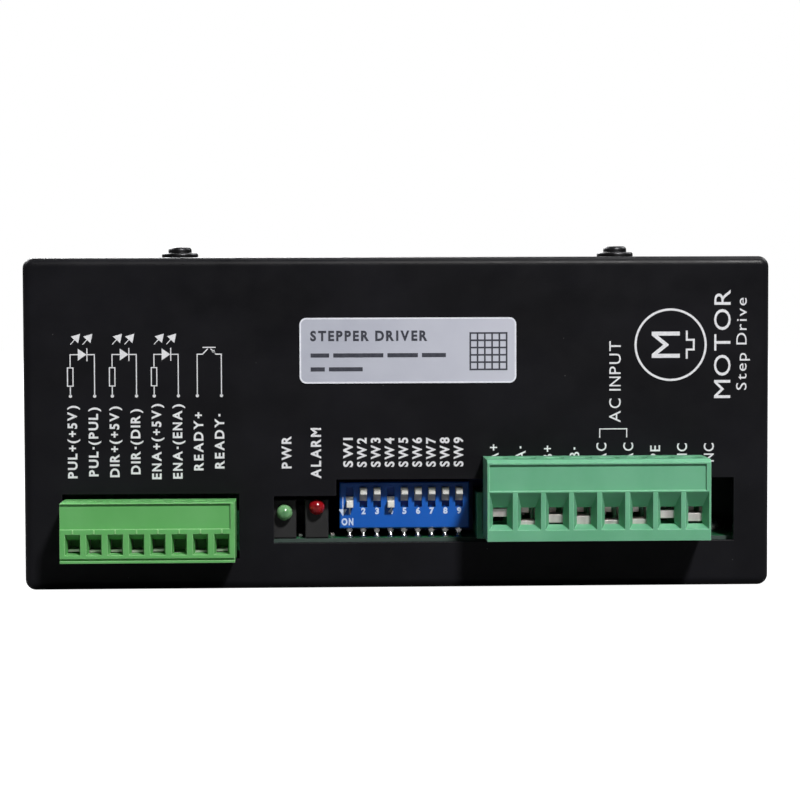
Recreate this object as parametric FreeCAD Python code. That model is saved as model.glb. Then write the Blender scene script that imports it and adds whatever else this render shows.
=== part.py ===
"""Stepper motor driver module: a black steel case on a finned heat sink, with plug-in terminal blocks.

Frame, in millimetres: the origin is the centre of the rear mounting face, +X runs to the right along the
connector panel as an onlooker sees it, -Y points out of the connector panel and +Z is up.
Every function below makes one named piece, or one named group of identical pieces.
"""

import FreeCAD
import Part

import math
import os
from collections import namedtuple

Vector = FreeCAD.Vector
X_AXIS = Vector(1, 0, 0)
Y_AXIS = Vector(0, 1, 0)
Z_AXIS = Vector(0, 0, 1)

# ---------------------------------------------------------------- driving dimensions
PANEL_WIDTH = 137.4
PANEL_HEIGHT = 61.0
BODY_DEPTH = 97.0  # rear mounting face to connector panel
PLATE_WIDTH = 151.0  # mounting plate, ears included
PLATE_THICKNESS = 2.0
SLOT_SPACING_X = 143.0
SLOT_SPACING_Z = 40.0
SLOT_LENGTH = 5.5
SLOT_RADIUS = 2.25

PANEL_SHEET = 1.2
PANEL_FLANGE = 14.0
PANEL_CORNER = 1.9
PANEL_BEND = 1.6
CASE_SHEET = 1.0
CASE_BEND = 1.5
CASE_GAP = 0.05
LID_FLANGE = 10.0

FRONT = -BODY_DEPTH
PANEL_BACK = FRONT + PANEL_SHEET
LEFT = -PANEL_WIDTH / 2
FLOOR = -PANEL_HEIGHT / 2
CASE_X = PANEL_WIDTH / 2 - PANEL_SHEET - CASE_GAP  # outside of the lid's side flanges
CASE_Z = PANEL_HEIGHT / 2 - PANEL_SHEET - CASE_GAP  # outside of the lid and of the tray's floor
TRAY_X = CASE_X - CASE_SHEET - CASE_GAP  # outside of the tray's side walls
CASE_FRONT = PANEL_BACK + 1.2
CASE_REAR = -22.5

# heat sink: extruded along X
SINK_BASE = 7.0
SINK_STEP = -22.4
FIN_COUNT = 10
FIN_THICKNESS = 1.8
BOSS_FIN_THICKNESS = 5.6
BOSS_FINS = (2, 7)
FIN_PITCH = (2 * CASE_Z - FIN_THICKNESS) / (FIN_COUNT - 1)
SINK_FRONT = SINK_STEP - SINK_BASE + 0.4

# boards
BOARD = 1.6
BOARD_TOP = FLOOR + 9.0
BOARD_BOTTOM = BOARD_TOP - BOARD
BOARD_X = 64.2
BOARD_FRONT = FRONT + 2.8
BOARD_REAR = -30.2
CONTROL_FRONT = FRONT + 10.2
CONTROL_LEFT = LEFT + 4.5
CONTROL_RIGHT = LEFT + 43.1
CONTROL_BOTTOM = FLOOR + 3.6
CONTROL_TOP = FLOOR + 44.4

# window in the connector panel, from the panel's left and bottom edges
WINDOW_LEFT = 45.7
WINDOW_RIGHT = 130.8
WINDOW_BOTTOM = 8.45
WINDOW_LOW_TOP = 17.1
WINDOW_TOP = 20.1
WINDOW_STEP = 57.2

# slide switch bank
SWITCH_COUNT = 9
SWITCH_PITCH = 2.54
SWITCH_CENTRE = LEFT + 69.9
SWITCH_WIDTH = 24.1
SWITCH_BOTTOM = FLOOR + 10.7
SWITCH_TOP = FLOOR + 19.3
SWITCH_FACE = FRONT + 3.6
SWITCH_DEPTH = 6.5
SWITCH_SKIN = 0.5
SWITCH_SLOT_BOTTOM = FLOOR + 14.6
SWITCH_SLOT_TOP = FLOOR + 18.4
SWITCHES_ON = (1, 4)
PIN_SHEET = 0.3
KNOB_WIDTH = 1.25
KNOB_HEIGHT = 1.3
KNOB_PROUD = 1.45
KNOB_TRAVEL = 2.4
SHOE_BELOW = 1.25
SHOE_ABOVE = 0.6
SHOE_THICKNESS = 0.9

# indicator lamps
LED_RADIUS = 1.475
LED_CENTRES = ((LEFT + 47.65, FLOOR + 13.9), (LEFT + 53.6, FLOOR + 14.9))
LED_HOLDER_WIDTH = 4.4
LED_HOLDER_HEIGHT = 7.3
LED_HOLDER_FACE = FRONT + 2.6
LED_HOLDER_DEPTH = 6.2

# panel screws, on the top flange
PANEL_SCREWS_X = (-40.2, 40.8)
PANEL_SCREW_Y = FRONT + 7.0

# rating label
LABEL_WIDTH = 39.8
LABEL_HEIGHT = 12.0
LABEL_THICKNESS = 0.2
LABEL_X = LEFT + 70.5
LABEL_Z = FLOOR + 43.85
LABEL_CORNER = 1.2

# fan on the right-hand wall, turning about X
FAN_SIZE = 40.0
FAN_DEPTH = 15.0
FAN_HOLE_SPACING = 32.0
FAN_Y = -58.0
FAN_Z = -1.0
FAN_BORE = 18.9
FAN_TIP = 18.2
FAN_HUB = 9.0
FAN_BLADES = 7
FAN_SHAFT = 1.0
RUNNING_GAP = 0.04

# fasteners; a reach is from the centre of a hexagon to its corner
M3_CORE = 1.25
SOCKET_REACH = 1.15
SOCKET_DEPTH = 0.9
NUT_REACH = 3.1
NUT_HEIGHT = 2.2
STANDOFF_REACH = 3.0
FASTENER_X = 50.0
SINK_SCREW_Y = -25.9
LID_SCREW_Y = (-78.6, -34.0)
GUARD_WIRE = 0.8  # wire radius

# A plug-in terminal block: sizes along the row, then heights above the plug's lowest face.
Block = namedtuple(
    "Block",
    "poles pitch centre width bottom height front back tip tongue_bottom tongue_top "
    "ridge band_top lip slope drop recess rim_left rim_right crown groove_bottom groove_top "
    "mouth mouth_bottom mouth_top throat throat_bottom throat_top funnel "
    "chamber chamber_front chamber_depth chamber_bottom chamber_top plate plate_low window cage_top "
    "travel blade blade_thickness blade_width head head_radius head_height shank_radius pin socket",
)

SIGNAL = Block(
    poles=8, pitch=3.81, centre=LEFT + 23.15, width=31.3, bottom=FLOOR + 6.15, height=10.95,
    front=FRONT - 11.0, back=FRONT + 1.5, tip=FRONT + 8.2, tongue_bottom=1.7, tongue_top=7.1,
    ridge=6.1, band_top=10.65, lip=0.15, slope=0.3, drop=0.45, recess=0.4, rim_left=0.0, rim_right=0.75,
    crown=0.22, groove_bottom=0.45, groove_top=0.85,
    mouth=2.75, mouth_bottom=1.48, mouth_top=5.22, throat=2.1, throat_bottom=1.6, throat_top=4.1, funnel=2.2,
    chamber=2.95, chamber_front=2.9, chamber_depth=3.6, chamber_bottom=1.05, chamber_top=7.6,
    plate=0.45, plate_low=1.6, window=3.0, cage_top=0.9, travel=1.9,
    blade=4.1, blade_thickness=0.4, blade_width=1.5,
    head=8.0, head_radius=1.25, head_height=1.2, shank_radius=0.95, pin=0.8, socket=1.5,
)  # fmt: skip

POWER = Block(
    poles=8, pitch=5.08, centre=LEFT + 104.5, width=40.5, bottom=FLOOR + 9.6, height=14.7,
    front=FRONT - 11.2, back=FRONT - 0.2, tip=FRONT + 8.0, tongue_bottom=0.9, tongue_top=7.0,
    ridge=9.1, band_top=13.87, lip=0.3, slope=0.6, drop=0.0, recess=0.4, rim_left=0.4, rim_right=0.8,
    crown=0.0, groove_bottom=0.0, groove_top=0.0,
    mouth=4.25, mouth_bottom=2.05, mouth_top=8.84, throat=2.6, throat_bottom=2.8, throat_top=5.95, funnel=2.4,
    chamber=4.2, chamber_front=3.0, chamber_depth=5.0, chamber_bottom=1.9, chamber_top=11.3,
    plate=1.45, plate_low=3.45, window=3.9, cage_top=1.2, travel=2.3,
    blade=6.1, blade_thickness=0.5, blade_width=2.2,
    head=11.7, head_radius=1.75, head_height=1.6, shank_radius=1.35, pin=1.0, socket=2.0,
)  # fmt: skip

# how far each clamp stands above its fully open place at rest, pole 1 first
SIGNAL_LIFT = (0.7, 0.55, 0.6, 0.5, 0.65, 0.0, 0.35, 0.6)
POWER_LIFT = (2.25, 0.0, 1.1, 0.8, 0.0, 0.2, 1.8, 1.2)


# ---------------------------------------------------------------- helpers
def box(x0, x1, y0, y1, z0, z1):
    return Part.makeBox(x1 - x0, y1 - y0, z1 - z0, Vector(x0, y0, z0))


def rod(radius, length, base, direction):
    return Part.makeCylinder(radius, length, Vector(*base), direction)


def fuse(shapes):
    return shapes[0].multiFuse(shapes[1:]).removeSplitter()


def group(shapes):
    return Part.makeCompound(shapes)


def edges_along(shape, axis):
    """The straight edges of shape that run along axis."""
    found = []
    for edge in shape.Edges:
        if isinstance(edge.Curve, Part.Line) and abs(edge.tangentAt(edge.FirstParameter).dot(axis)) > 0.999:
            found.append(edge)
    return found


def edges_at(shape, axis, value):
    """The edges of shape that lie wholly in the plane where the coordinate along axis is value."""
    found = []
    for edge in shape.Edges:
        ends = (edge.BoundBox.getPoint(0).dot(axis), edge.BoundBox.getPoint(6).dot(axis))
        if max(abs(end - value) for end in ends) < 1e-6:
            found.append(edge)
    return found


def outline_xz(points, y):
    """A closed flat wire through (x, z) points at depth y."""
    corners = [Vector(x, y, z) for x, z in points]
    return Part.makePolygon(corners + corners[:1])


def outline_yz(points, x):
    """A closed flat wire through (y, z) points at station x."""
    corners = [Vector(x, y, z) for y, z in points]
    return Part.makePolygon(corners + corners[:1])


def prism(wire, travel):
    return Part.Face(wire).extrude(travel)


def hexagon(x, y, z, reach):
    """A closed level hexagon about (x, y, z), with two corners along X."""
    turns = [k * math.pi / 3 for k in range(7)]
    return Part.makePolygon([Vector(x + reach * math.cos(a), y + reach * math.sin(a), z) for a in turns])


def rectangle(x, width, z0, z1, y):
    half = width / 2
    return outline_xz([(x - half, z0), (x + half, z0), (x + half, z1), (x - half, z1)], y)


def pole_centres(block):
    first = block.centre - (block.poles - 1) * block.pitch / 2
    return [first + i * block.pitch for i in range(block.poles)]


def fin_centres():
    first = -CASE_Z + FIN_THICKNESS / 2
    return [first + i * FIN_PITCH for i in range(FIN_COUNT)]


def switch_centres():
    first = SWITCH_CENTRE - (SWITCH_COUNT - 1) * SWITCH_PITCH / 2
    return [first + i * SWITCH_PITCH for i in range(SWITCH_COUNT)]


# ---------------------------------------------------------------- fasteners
# A screw's head stands at (x, y, z) and its shank points along inward.
Screw = namedtuple("Screw", "x y z inward length sunk radius height")


def countersunk(x, y, z, inward, length):
    return Screw(x, y, z, inward, length, sunk=True, radius=2.9, height=1.5)


def pan(x, y, z, inward, length, radius=2.75, height=1.9):
    return Screw(x, y, z, inward, length, sunk=False, radius=radius, height=height)


def screw_hole(screw):
    """What a screw takes out of the parts that it goes through."""
    base = Vector(screw.x, screw.y, screw.z)
    shank = Part.makeCylinder(M3_CORE, screw.length, base, screw.inward)
    if not screw.sunk:
        return shank
    return shank.fuse(Part.makeCone(screw.radius, M3_CORE, screw.height, base, screw.inward))


def screw_body(screw):
    """The screw itself, with a hexagon socket in a sunk head or a cross recess in a domed one."""
    base = Vector(screw.x, screw.y, screw.z)
    outward = screw.inward * -1
    turn = FreeCAD.Rotation(Z_AXIS, outward)
    if screw.sunk:
        drive = prism(hexagon(0, 0, -SOCKET_DEPTH, SOCKET_REACH), Z_AXIS * (SOCKET_DEPTH + 0.3))
        drive.Placement = FreeCAD.Placement(base, turn)
        return fuse([screw_hole(screw)]).cut(drive)
    head = Part.makeCylinder(screw.radius, screw.height, base, outward)
    rim = [e for e in head.Edges if e.Length > 6 and (e.CenterOfMass - base).dot(outward) > screw.height / 2]
    body = fuse([head.makeFillet(screw.height * 0.6, rim), screw_hole(screw)])
    half = screw.radius * 0.55
    for blade in (box(-half, half, -0.3, 0.3, -0.8, 0.1), box(-0.3, 0.3, -half, half, -0.8, 0.1)):
        blade.Placement = FreeCAD.Placement(base + outward * screw.height, turn)
        body = body.cut(blade)
    return body


WASHER_HEIGHT = 0.85
WASHER_RADIUS = 3.35
WASHER_ROUND = 0.4
STANDOFF_PLACES = ((-60.5, -79.0), (60.5, -82.0), (-61.0, -38.5), (59.8, -34.4), (-3.0, -42.0))


def panel_screw_list():
    seat = PANEL_HEIGHT / 2 + WASHER_HEIGHT
    return [pan(x, PANEL_SCREW_Y, seat, Z_AXIS * -1, 6.0, radius=2.15, height=1.1) for x in PANEL_SCREWS_X]


def case_screw_list():
    screws = []
    for x in (-FASTENER_X, FASTENER_X):
        screws.append(countersunk(x, SINK_SCREW_Y, CASE_Z, Z_AXIS * -1, 8))
        screws.append(countersunk(x, SINK_SCREW_Y, -CASE_Z, Z_AXIS, 8))
        for index in BOSS_FINS:
            screws.append(countersunk(x, 0, fin_centres()[index], Y_AXIS * -1, 10))
    for x in PANEL_SCREWS_X:
        screws.append(countersunk(x, PANEL_SCREW_Y, FLOOR, Z_AXIS, 4.2))
    for side in (-1, 1):
        for y in LID_SCREW_Y:
            screws.append(pan(side * CASE_X, y, CASE_Z - 4.5, X_AXIS * -side, 3.5, height=1.2))
    half = FAN_HOLE_SPACING / 2
    for a in (-half, half):
        for b in (-half, half):
            screws.append(pan(TRAY_X + GUARD_WIRE * 2, FAN_Y + a, FAN_Z + b, X_AXIS * -1, 19.5, height=1.4))
    return screws


def transistor_places():
    return [-26.0 + i * 13.0 for i in range(7)]


def inner_screw_list():
    screws = [pan(x, y, BOARD_TOP, Z_AXIS * -1, 4.6) for x, y in STANDOFF_PLACES]
    for x in transistor_places() + [RECTIFIER_X]:
        screws.append(pan(x, DEVICE_FRONT, DEVICE_SCREW_Z, Y_AXIS, 8.0, radius=2.4, height=1.6))
    return screws


def holes(screws):
    return group([screw_hole(screw) for screw in screws])


def panel_screws():
    """The two screws on the top flange, each on its flat washer."""
    pieces = []
    for screw in panel_screw_list():
        washer = rod(WASHER_RADIUS, WASHER_HEIGHT, (screw.x, screw.y, PANEL_HEIGHT / 2), Z_AXIS)
        washer = washer.makeFillet(WASHER_ROUND, edges_at(washer, Z_AXIS, PANEL_HEIGHT / 2 + WASHER_HEIGHT))
        pieces += [washer.cut(screw_hole(screw)), screw_body(screw)]
    return group(pieces)


def case_screws():
    return group([screw_body(screw) for screw in case_screw_list()])


def inner_screws():
    """Board screws, the power devices' screws and the nuts of the two panel screws."""
    pieces = [screw_body(screw) for screw in inner_screw_list()]
    z = CASE_Z - CASE_SHEET - NUT_HEIGHT
    for screw in panel_screw_list():
        nut = prism(hexagon(screw.x, screw.y, z, NUT_REACH), Z_AXIS * NUT_HEIGHT)
        pieces.append(nut.cut(screw_hole(screw)))
    return group(pieces)


def board_standoffs():
    """Hexagonal standoffs between the tray's floor and the main board."""
    bottom = -CASE_Z + CASE_SHEET
    standoffs = []
    for x, y in STANDOFF_PLACES:
        standoffs.append(prism(hexagon(x, y, bottom, STANDOFF_REACH), Z_AXIS * (BOARD_BOTTOM - bottom)))
    return group(standoffs)


# ---------------------------------------------------------------- case
def rounded_cap(x, z, front, rear, corner, bend):
    """A block with rounded edges along Y and a rounded front rim."""
    block = box(-x, x, front, rear, -z, z)
    block = block.makeFillet(corner, edges_along(block, Y_AXIS))
    return block.makeFillet(bend, edges_at(block, Y_AXIS, front))


def front_panel(screw_holes):
    """The printed connector panel: a shallow cap with the switch window and the signal plug's cut-out."""
    rear = FRONT + PANEL_FLANGE
    x, z = PANEL_WIDTH / 2, PANEL_HEIGHT / 2
    cap = rounded_cap(x, z, FRONT, rear, PANEL_CORNER, PANEL_BEND)
    inner = rounded_cap(x - PANEL_SHEET, z - PANEL_SHEET, PANEL_BACK, rear + 1,
                        PANEL_CORNER - PANEL_SHEET, PANEL_BEND - PANEL_SHEET)  # fmt: skip
    window = outline_xz(
        [
            (LEFT + WINDOW_LEFT, FLOOR + WINDOW_BOTTOM),
            (LEFT + WINDOW_RIGHT, FLOOR + WINDOW_BOTTOM),
            (LEFT + WINDOW_RIGHT, FLOOR + WINDOW_TOP),
            (LEFT + WINDOW_STEP, FLOOR + WINDOW_TOP),
            (LEFT + WINDOW_STEP, FLOOR + WINDOW_LOW_TOP),
            (LEFT + WINDOW_LEFT, FLOOR + WINDOW_LOW_TOP),
        ],
        FRONT - 1,
    )
    gap = 0.55
    half = SIGNAL.width / 2 + gap
    low, high = SIGNAL.bottom - gap, SIGNAL.bottom + SIGNAL.height + gap
    cutout = box(SIGNAL.centre - half, SIGNAL.centre + half, FRONT - 1, PANEL_BACK + 1, low, high)
    return cap.cut(inner).cut(prism(window, Y_AXIS * 3)).cut(cutout).cut(screw_holes)


def top_cover(screw_holes):
    """The lid: a flat top with two short flanges that overlap the tray's walls."""
    block = box(-CASE_X, CASE_X, CASE_FRONT, CASE_REAR, CASE_Z - LID_FLANGE, CASE_Z)
    top_edges = [e for e in edges_along(block, Y_AXIS) if e.CenterOfMass.z > CASE_Z - 1]
    block = block.makeFillet(CASE_BEND, top_edges)
    inner_x, inner_z = CASE_X - CASE_SHEET, CASE_Z - CASE_SHEET
    hollow = box(-inner_x, inner_x, CASE_FRONT - 1, CASE_REAR + 1, CASE_Z - LID_FLANGE - 1, inner_z)
    top_edges = [e for e in edges_along(hollow, Y_AXIS) if e.CenterOfMass.z > inner_z - 1]
    hollow = hollow.makeFillet(CASE_BEND - CASE_SHEET, top_edges)
    return block.cut(hollow).cut(screw_holes)


def vent_slots():
    """Cooling slots through the tray's left-hand wall."""
    slot_width, slot_pitch, count = 2.2, 5.0, 11
    z0, z1 = -12.0, 14.0
    slots = []
    for i in range(count):
        y = FAN_Y + (i - (count - 1) / 2) * slot_pitch
        slot = box(-TRAY_X - 1, -TRAY_X + 3, y - slot_width / 2, y + slot_width / 2, z0, z1)
        slots.append(slot.makeFillet(slot_width / 2 - 0.01, edges_along(slot, X_AXIS)))
    return group(slots)


def base_tray(screw_holes):
    """Floor and both side walls in one bent sheet, with the vent slots and the fan hole."""
    wall_top = CASE_Z - CASE_SHEET - 0.6
    block = box(-TRAY_X, TRAY_X, CASE_FRONT, CASE_REAR, -CASE_Z, wall_top)
    low_edges = [e for e in edges_along(block, Y_AXIS) if e.CenterOfMass.z < -CASE_Z + 1]
    block = block.makeFillet(CASE_BEND, low_edges)
    inner_x, inner_z = TRAY_X - CASE_SHEET, -CASE_Z + CASE_SHEET
    hollow = box(-inner_x, inner_x, CASE_FRONT - 1, CASE_REAR + 1, inner_z, wall_top + 1)
    low_edges = [e for e in edges_along(hollow, Y_AXIS) if e.CenterOfMass.z < inner_z + 1]
    hollow = hollow.makeFillet(CASE_BEND - CASE_SHEET, low_edges)
    fan_hole = rod(FAN_BORE, 4, (TRAY_X - 2, FAN_Y, FAN_Z), X_AXIS)
    return block.cut(hollow).cut(vent_slots()).cut(fan_hole).cut(screw_holes)


def heat_sink(screw_holes):
    """Extruded heat sink: a stepped base that the case closes on, and fins that run along X."""
    inset = CASE_SHEET + 0.02
    base = box(-TRAY_X + CASE_SHEET + CASE_GAP, TRAY_X - CASE_SHEET - CASE_GAP, SINK_FRONT, SINK_STEP,
               -CASE_Z + inset, CASE_Z - inset)  # fmt: skip
    base = base.makeFillet(CASE_BEND - CASE_SHEET + 0.1, edges_along(base, Y_AXIS))
    floor = box(-CASE_X, CASE_X, SINK_STEP, SINK_STEP + 2.4, -CASE_Z, CASE_Z)
    parts = [base, floor]
    for index, z in enumerate(fin_centres()):
        half = (BOSS_FIN_THICKNESS if index in BOSS_FINS else FIN_THICKNESS) / 2
        parts.append(box(-CASE_X, CASE_X, SINK_STEP, -PLATE_THICKNESS, z - half, z + half))
    return fuse(parts).cut(screw_holes)


def mounting_plate(screw_holes):
    """The rear plate over the fins, with two slotted ears."""
    x, z = PLATE_WIDTH / 2, PANEL_HEIGHT / 2
    plate = box(-x, x, -PLATE_THICKNESS, 0, -z, z)
    plate = plate.makeFillet(3.0, edges_along(plate, Y_AXIS))
    reach = SLOT_LENGTH / 2 - SLOT_RADIUS
    for side in (-1, 1):
        for level in (-1, 1):
            cx, cz = side * SLOT_SPACING_X / 2, level * SLOT_SPACING_Z / 2
            ends = [rod(SLOT_RADIUS, 4, (cx + d, -3, cz), Y_AXIS) for d in (-reach, reach)]
            middle = box(cx - reach, cx + reach, -3, 1, cz - SLOT_RADIUS, cz + SLOT_RADIUS)
            plate = plate.cut(fuse([middle] + ends))
    return plate.cut(screw_holes)


def rating_label():
    x, z = LABEL_WIDTH / 2, LABEL_HEIGHT / 2
    label = box(LABEL_X - x, LABEL_X + x, FRONT - LABEL_THICKNESS, FRONT, LABEL_Z - z, LABEL_Z + z)
    return label.makeFillet(LABEL_CORNER, edges_along(label, Y_AXIS))


# ---------------------------------------------------------------- boards
def main_board(pins, screw_holes):
    board = box(-BOARD_X, BOARD_X, BOARD_FRONT, BOARD_REAR, BOARD_BOTTOM, BOARD_TOP)
    notch = box(-BOARD_X - 1, CONTROL_RIGHT + 0.6, BOARD_FRONT - 1, CONTROL_FRONT + BOARD + 0.4,
                BOARD_BOTTOM - 1, BOARD_TOP + 1)  # fmt: skip
    return board.cut(notch).cut(pins).cut(screw_holes)


def control_board(pins):
    """Upright board behind the signal connector."""
    rear = CONTROL_FRONT + BOARD
    return box(CONTROL_LEFT, CONTROL_RIGHT, CONTROL_FRONT, rear, CONTROL_BOTTOM, CONTROL_TOP).cut(pins)


def flat_pin(x, y, z):
    """A switch pin from the housing's underside at z, with a tapered shoulder above the board."""
    half, front, top, foot = PIN_SHEET / 2, y - PIN_SHEET / 2, z - 0.3, z - 1.0
    stem = box(x - 0.25, x + 0.25, front, y + half, BOARD_BOTTOM - 1.6, z)
    taper = outline_xz([(x - 0.6, top), (x + 0.6, top), (x + 0.2, foot), (x - 0.2, foot)], front)
    return fuse([stem, prism(taper, Y_AXIS * PIN_SHEET)])


def header_pin_height(block):
    return block.bottom + (block.tongue_bottom + block.tongue_top) / 2


def board_pins():
    """Every tinned pin that is soldered in a board: both headers, the switch bank and the board link."""
    pins = []
    half = POWER.pin / 2
    z = header_pin_height(POWER)
    for x in pole_centres(POWER):
        bend = POWER_HEADER_REAR + 1.6
        reach = box(x - half, x + half, POWER_PIN_TIP, bend, z - half, z + half)
        leg = box(x - half, x + half, bend - 2 * half, bend, BOARD_BOTTOM - 1.8, z + half)
        pins.append(fuse([reach, leg]))
    half = SIGNAL.pin / 2
    z = header_pin_height(SIGNAL)
    for x in pole_centres(SIGNAL):
        pins.append(box(x - half, x + half, SIGNAL_PIN_TIP, CONTROL_FRONT + BOARD + 1.4, z - half, z + half))
    for x in switch_centres():
        for y in (SWITCH_FACE + 1.2, SWITCH_FACE + 5.0):
            pins.append(flat_pin(x, y, SWITCH_BOTTOM))
    half = 0.32
    link_z = BOARD_TOP + 9.0
    for i in range(8):
        x = CONTROL_LEFT + 8.0 + i * SWITCH_PITCH
        y0, y1 = CONTROL_FRONT - 1.0, CONTROL_FRONT + BOARD + 4.0
        reach = box(x - half, x + half, y0, y1, link_z - half, link_z + half)
        leg = box(x - half, x + half, y1 - 2 * half, y1, BOARD_BOTTOM - 1.5, link_z + half)
        pins.append(fuse([reach, leg]))
    return group(pins)


# ---------------------------------------------------------------- connectors
POWER_HEADER_REAR = FRONT + 12.4
POWER_PIN_TIP = FRONT + 3.2
SIGNAL_PIN_TIP = FRONT + 4.4


def header(block, front, rear, bottom, top, wall, pins):
    """An open-fronted shroud that takes a plug's tongue; pins are cut out of its back wall."""
    half = block.width / 2 + wall + 0.1
    shroud = box(block.centre - half, block.centre + half, front, rear, bottom, top)
    inner = half - wall
    low, high = block.bottom + block.tongue_bottom - 0.1, block.bottom + block.tongue_top + 0.1
    cavity = box(block.centre - inner, block.centre + inner, front - 1, rear - 1.9, low, high)
    shroud = shroud.cut(cavity)
    for x in pole_centres(block):
        key = box(x - 0.5, x + 0.5, front - 1, front + 3.5, high - 0.1, high + 0.45)
        shroud = shroud.cut(key)
    return shroud.cut(pins)


def plug_body(block):
    """The moulded plug: stepped front with wire mouths, clamp chambers, screw wells and a tongue."""
    x0, x1 = block.centre - block.width / 2, block.centre + block.width / 2
    top = block.bottom + block.height
    side = outline_yz(
        [
            (block.back, block.bottom),
            (block.front, block.bottom),
            (block.front, block.bottom + block.band_top + block.lip),
            (block.front + block.slope, top),
            (block.back, top - block.drop),
        ],
        x0,
    )
    body = prism(side, X_AXIS * block.width)
    tongue = box(x0 + 0.1, x1 - 0.1, block.back, block.tip, block.bottom + block.tongue_bottom,
                 block.bottom + block.tongue_top)  # fmt: skip
    tip_edges = [e for e in edges_at(tongue, Y_AXIS, block.tip) if e.BoundBox.XLength > 1]
    body = body.fuse(tongue.makeChamfer(0.4, tip_edges)).removeSplitter()
    cuts = [box(x0 + block.rim_left, x1 - block.rim_right, block.front - 1, block.front + block.recess,
                block.bottom + block.ridge, block.bottom + block.band_top)]  # fmt: skip
    if block.crown:
        body = body.cut(scallops(block))
        cuts.append(box(x0 - 1, x1 + 1, block.front - 1, block.front + block.recess,
                        block.bottom + block.groove_bottom, block.bottom + block.groove_top))  # fmt: skip
    for x in pole_centres(block):
        cuts += pole_cuts(block, x)
    return body.cut(group(cuts))


def scallops(block):
    """What is left over above a plug whose top is crowned once for each pole."""
    top = block.bottom + block.height
    left, right = block.centre - block.width / 2 - 0.01, block.centre + block.width / 2 + 0.01
    edges_x = [x - block.pitch / 2 for x in pole_centres(block)[1:]]
    stations = [left] + edges_x + [right]
    y = block.front - 1
    edges = []
    for x0, x1 in zip(stations, stations[1:]):
        low = Vector(x0, y, top - block.crown), Vector(x1, y, top - block.crown)
        edges.append(Part.Arc(low[0], Vector((x0 + x1) / 2, y, top), low[1]).toShape())
    corners = [Vector(right, y, top - block.crown), Vector(right, y, top + 1), Vector(left, y, top + 1),
               Vector(left, y, top - block.crown)]  # fmt: skip
    edges += Part.makePolygon(corners).Edges
    return prism(Part.Wire(edges), Y_AXIS * (block.back - block.front + 2))


def pole_cuts(block, x):
    """What one pole takes out of a plug: wire mouth, clamp chamber, screw well and pin socket."""
    base = block.bottom
    chamber_y = block.front + block.chamber_front
    mouth = rectangle(x, block.mouth, base + block.mouth_bottom, base + block.mouth_top, block.front - 0.01)
    throat = rectangle(x, block.throat, base + block.throat_bottom, base + block.throat_top,
                       block.front + block.funnel)  # fmt: skip
    funnel = Part.makeLoft([mouth, throat], True, True)
    half = block.throat / 2
    passage = box(x - half, x + half, block.front + block.funnel - 0.01, chamber_y + 0.1,
                  base + block.throat_bottom, base + block.throat_top)  # fmt: skip
    half = block.chamber / 2
    chamber = box(x - half, x + half, chamber_y, chamber_y + block.chamber_depth,
                  base + block.chamber_bottom, base + block.chamber_top)  # fmt: skip
    well_y = chamber_y + block.chamber_depth / 2
    well_low = block.head - 0.05
    bore_low = block.chamber_top - 0.05
    bore = rod(block.shank_radius + 0.1, well_low - bore_low + 0.05, (x, well_y, base + bore_low), Z_AXIS)
    well = rod(block.head_radius + 0.15, block.height - well_low + 1, (x, well_y, base + well_low), Z_AXIS)
    half = block.socket / 2
    z = header_pin_height(block)
    socket = box(x - half, x + half, chamber_y + block.chamber_depth - 0.1, block.tip + 1, z - half, z + half)
    half = block.blade_width / 2 + 0.05
    low = base + block.blade - 0.05
    high = low + block.blade_thickness + 0.1
    duct_rear = chamber_y + block.chamber_depth + 1.0
    duct = box(x - half, x + half, duct_rear - 1.1, duct_rear, min(low, z), max(high, z))
    return [funnel, passage, chamber, bore, well, socket, duct]


def plug_terminals(block):
    """The plug's slotted clamp screws and the contact blades that the wires are clamped against."""
    pieces = []
    base = block.bottom
    chamber_y = block.front + block.chamber_front
    well_y = chamber_y + block.chamber_depth / 2
    for x in pole_centres(block):
        head = rod(block.head_radius, block.head_height, (x, well_y, base + block.head), Z_AXIS)
        tip = block.blade + block.blade_thickness + 0.15
        shank = rod(block.shank_radius, block.head - tip, (x, well_y, base + tip), Z_AXIS)
        slot_z = base + block.head + block.head_height - 0.6
        slot = box(x - 3, x + 3, well_y - 0.28, well_y + 0.28, slot_z, slot_z + 2)
        slot.rotate(Vector(x, well_y, slot_z), Z_AXIS, 35 + 50 * math.sin(x))
        pieces.append(fuse([head, shank]).cut(slot))
        half = block.blade_width / 2
        z = base + block.blade
        rear = chamber_y + block.chamber_depth + 0.9
        strip = box(x - half, x + half, chamber_y + 0.3, rear, z, z + block.blade_thickness)
        pin_z = header_pin_height(block)
        pin_half = block.pin / 2
        finger = min(0.3, block.socket / 2 - pin_half - 0.04)
        level = pin_z + pin_half + 0.02
        low, high = sorted((z + block.blade_thickness / 2, level))
        drop = box(x - half * 0.6, x + half * 0.6, rear - 0.35, rear, low, high + finger)
        prong = box(x - pin_half, x + pin_half, rear - 0.35, block.tip - 0.8, level, level + finger)
        pieces.append(fuse([strip, drop, prong]))
    return group(pieces)


def clamp(block, x, lift):
    """One rising clamp cage: a square frame that a turn of its screw lifts against the blade."""
    y0 = block.front + block.chamber_front + 0.15
    y1 = y0 + block.chamber_depth - 0.3
    half = block.chamber / 2 - 0.1
    low = block.bottom + block.plate_low - block.plate + lift
    sill = low + block.plate
    lintel = sill + block.window
    high = lintel + block.cage_top
    frame = box(x - half, x + half, y0, y1, low, high)
    inner = max(block.blade_width / 2, block.shank_radius) + 0.12
    frame = frame.cut(box(x - inner, x + inner, y0 - 1, y1 + 1, sill, lintel))
    thread = rod(block.shank_radius + 0.05, block.cage_top + 1, (x, (y0 + y1) / 2, lintel - 0.5), Z_AXIS)
    return frame.cut(thread)


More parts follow.
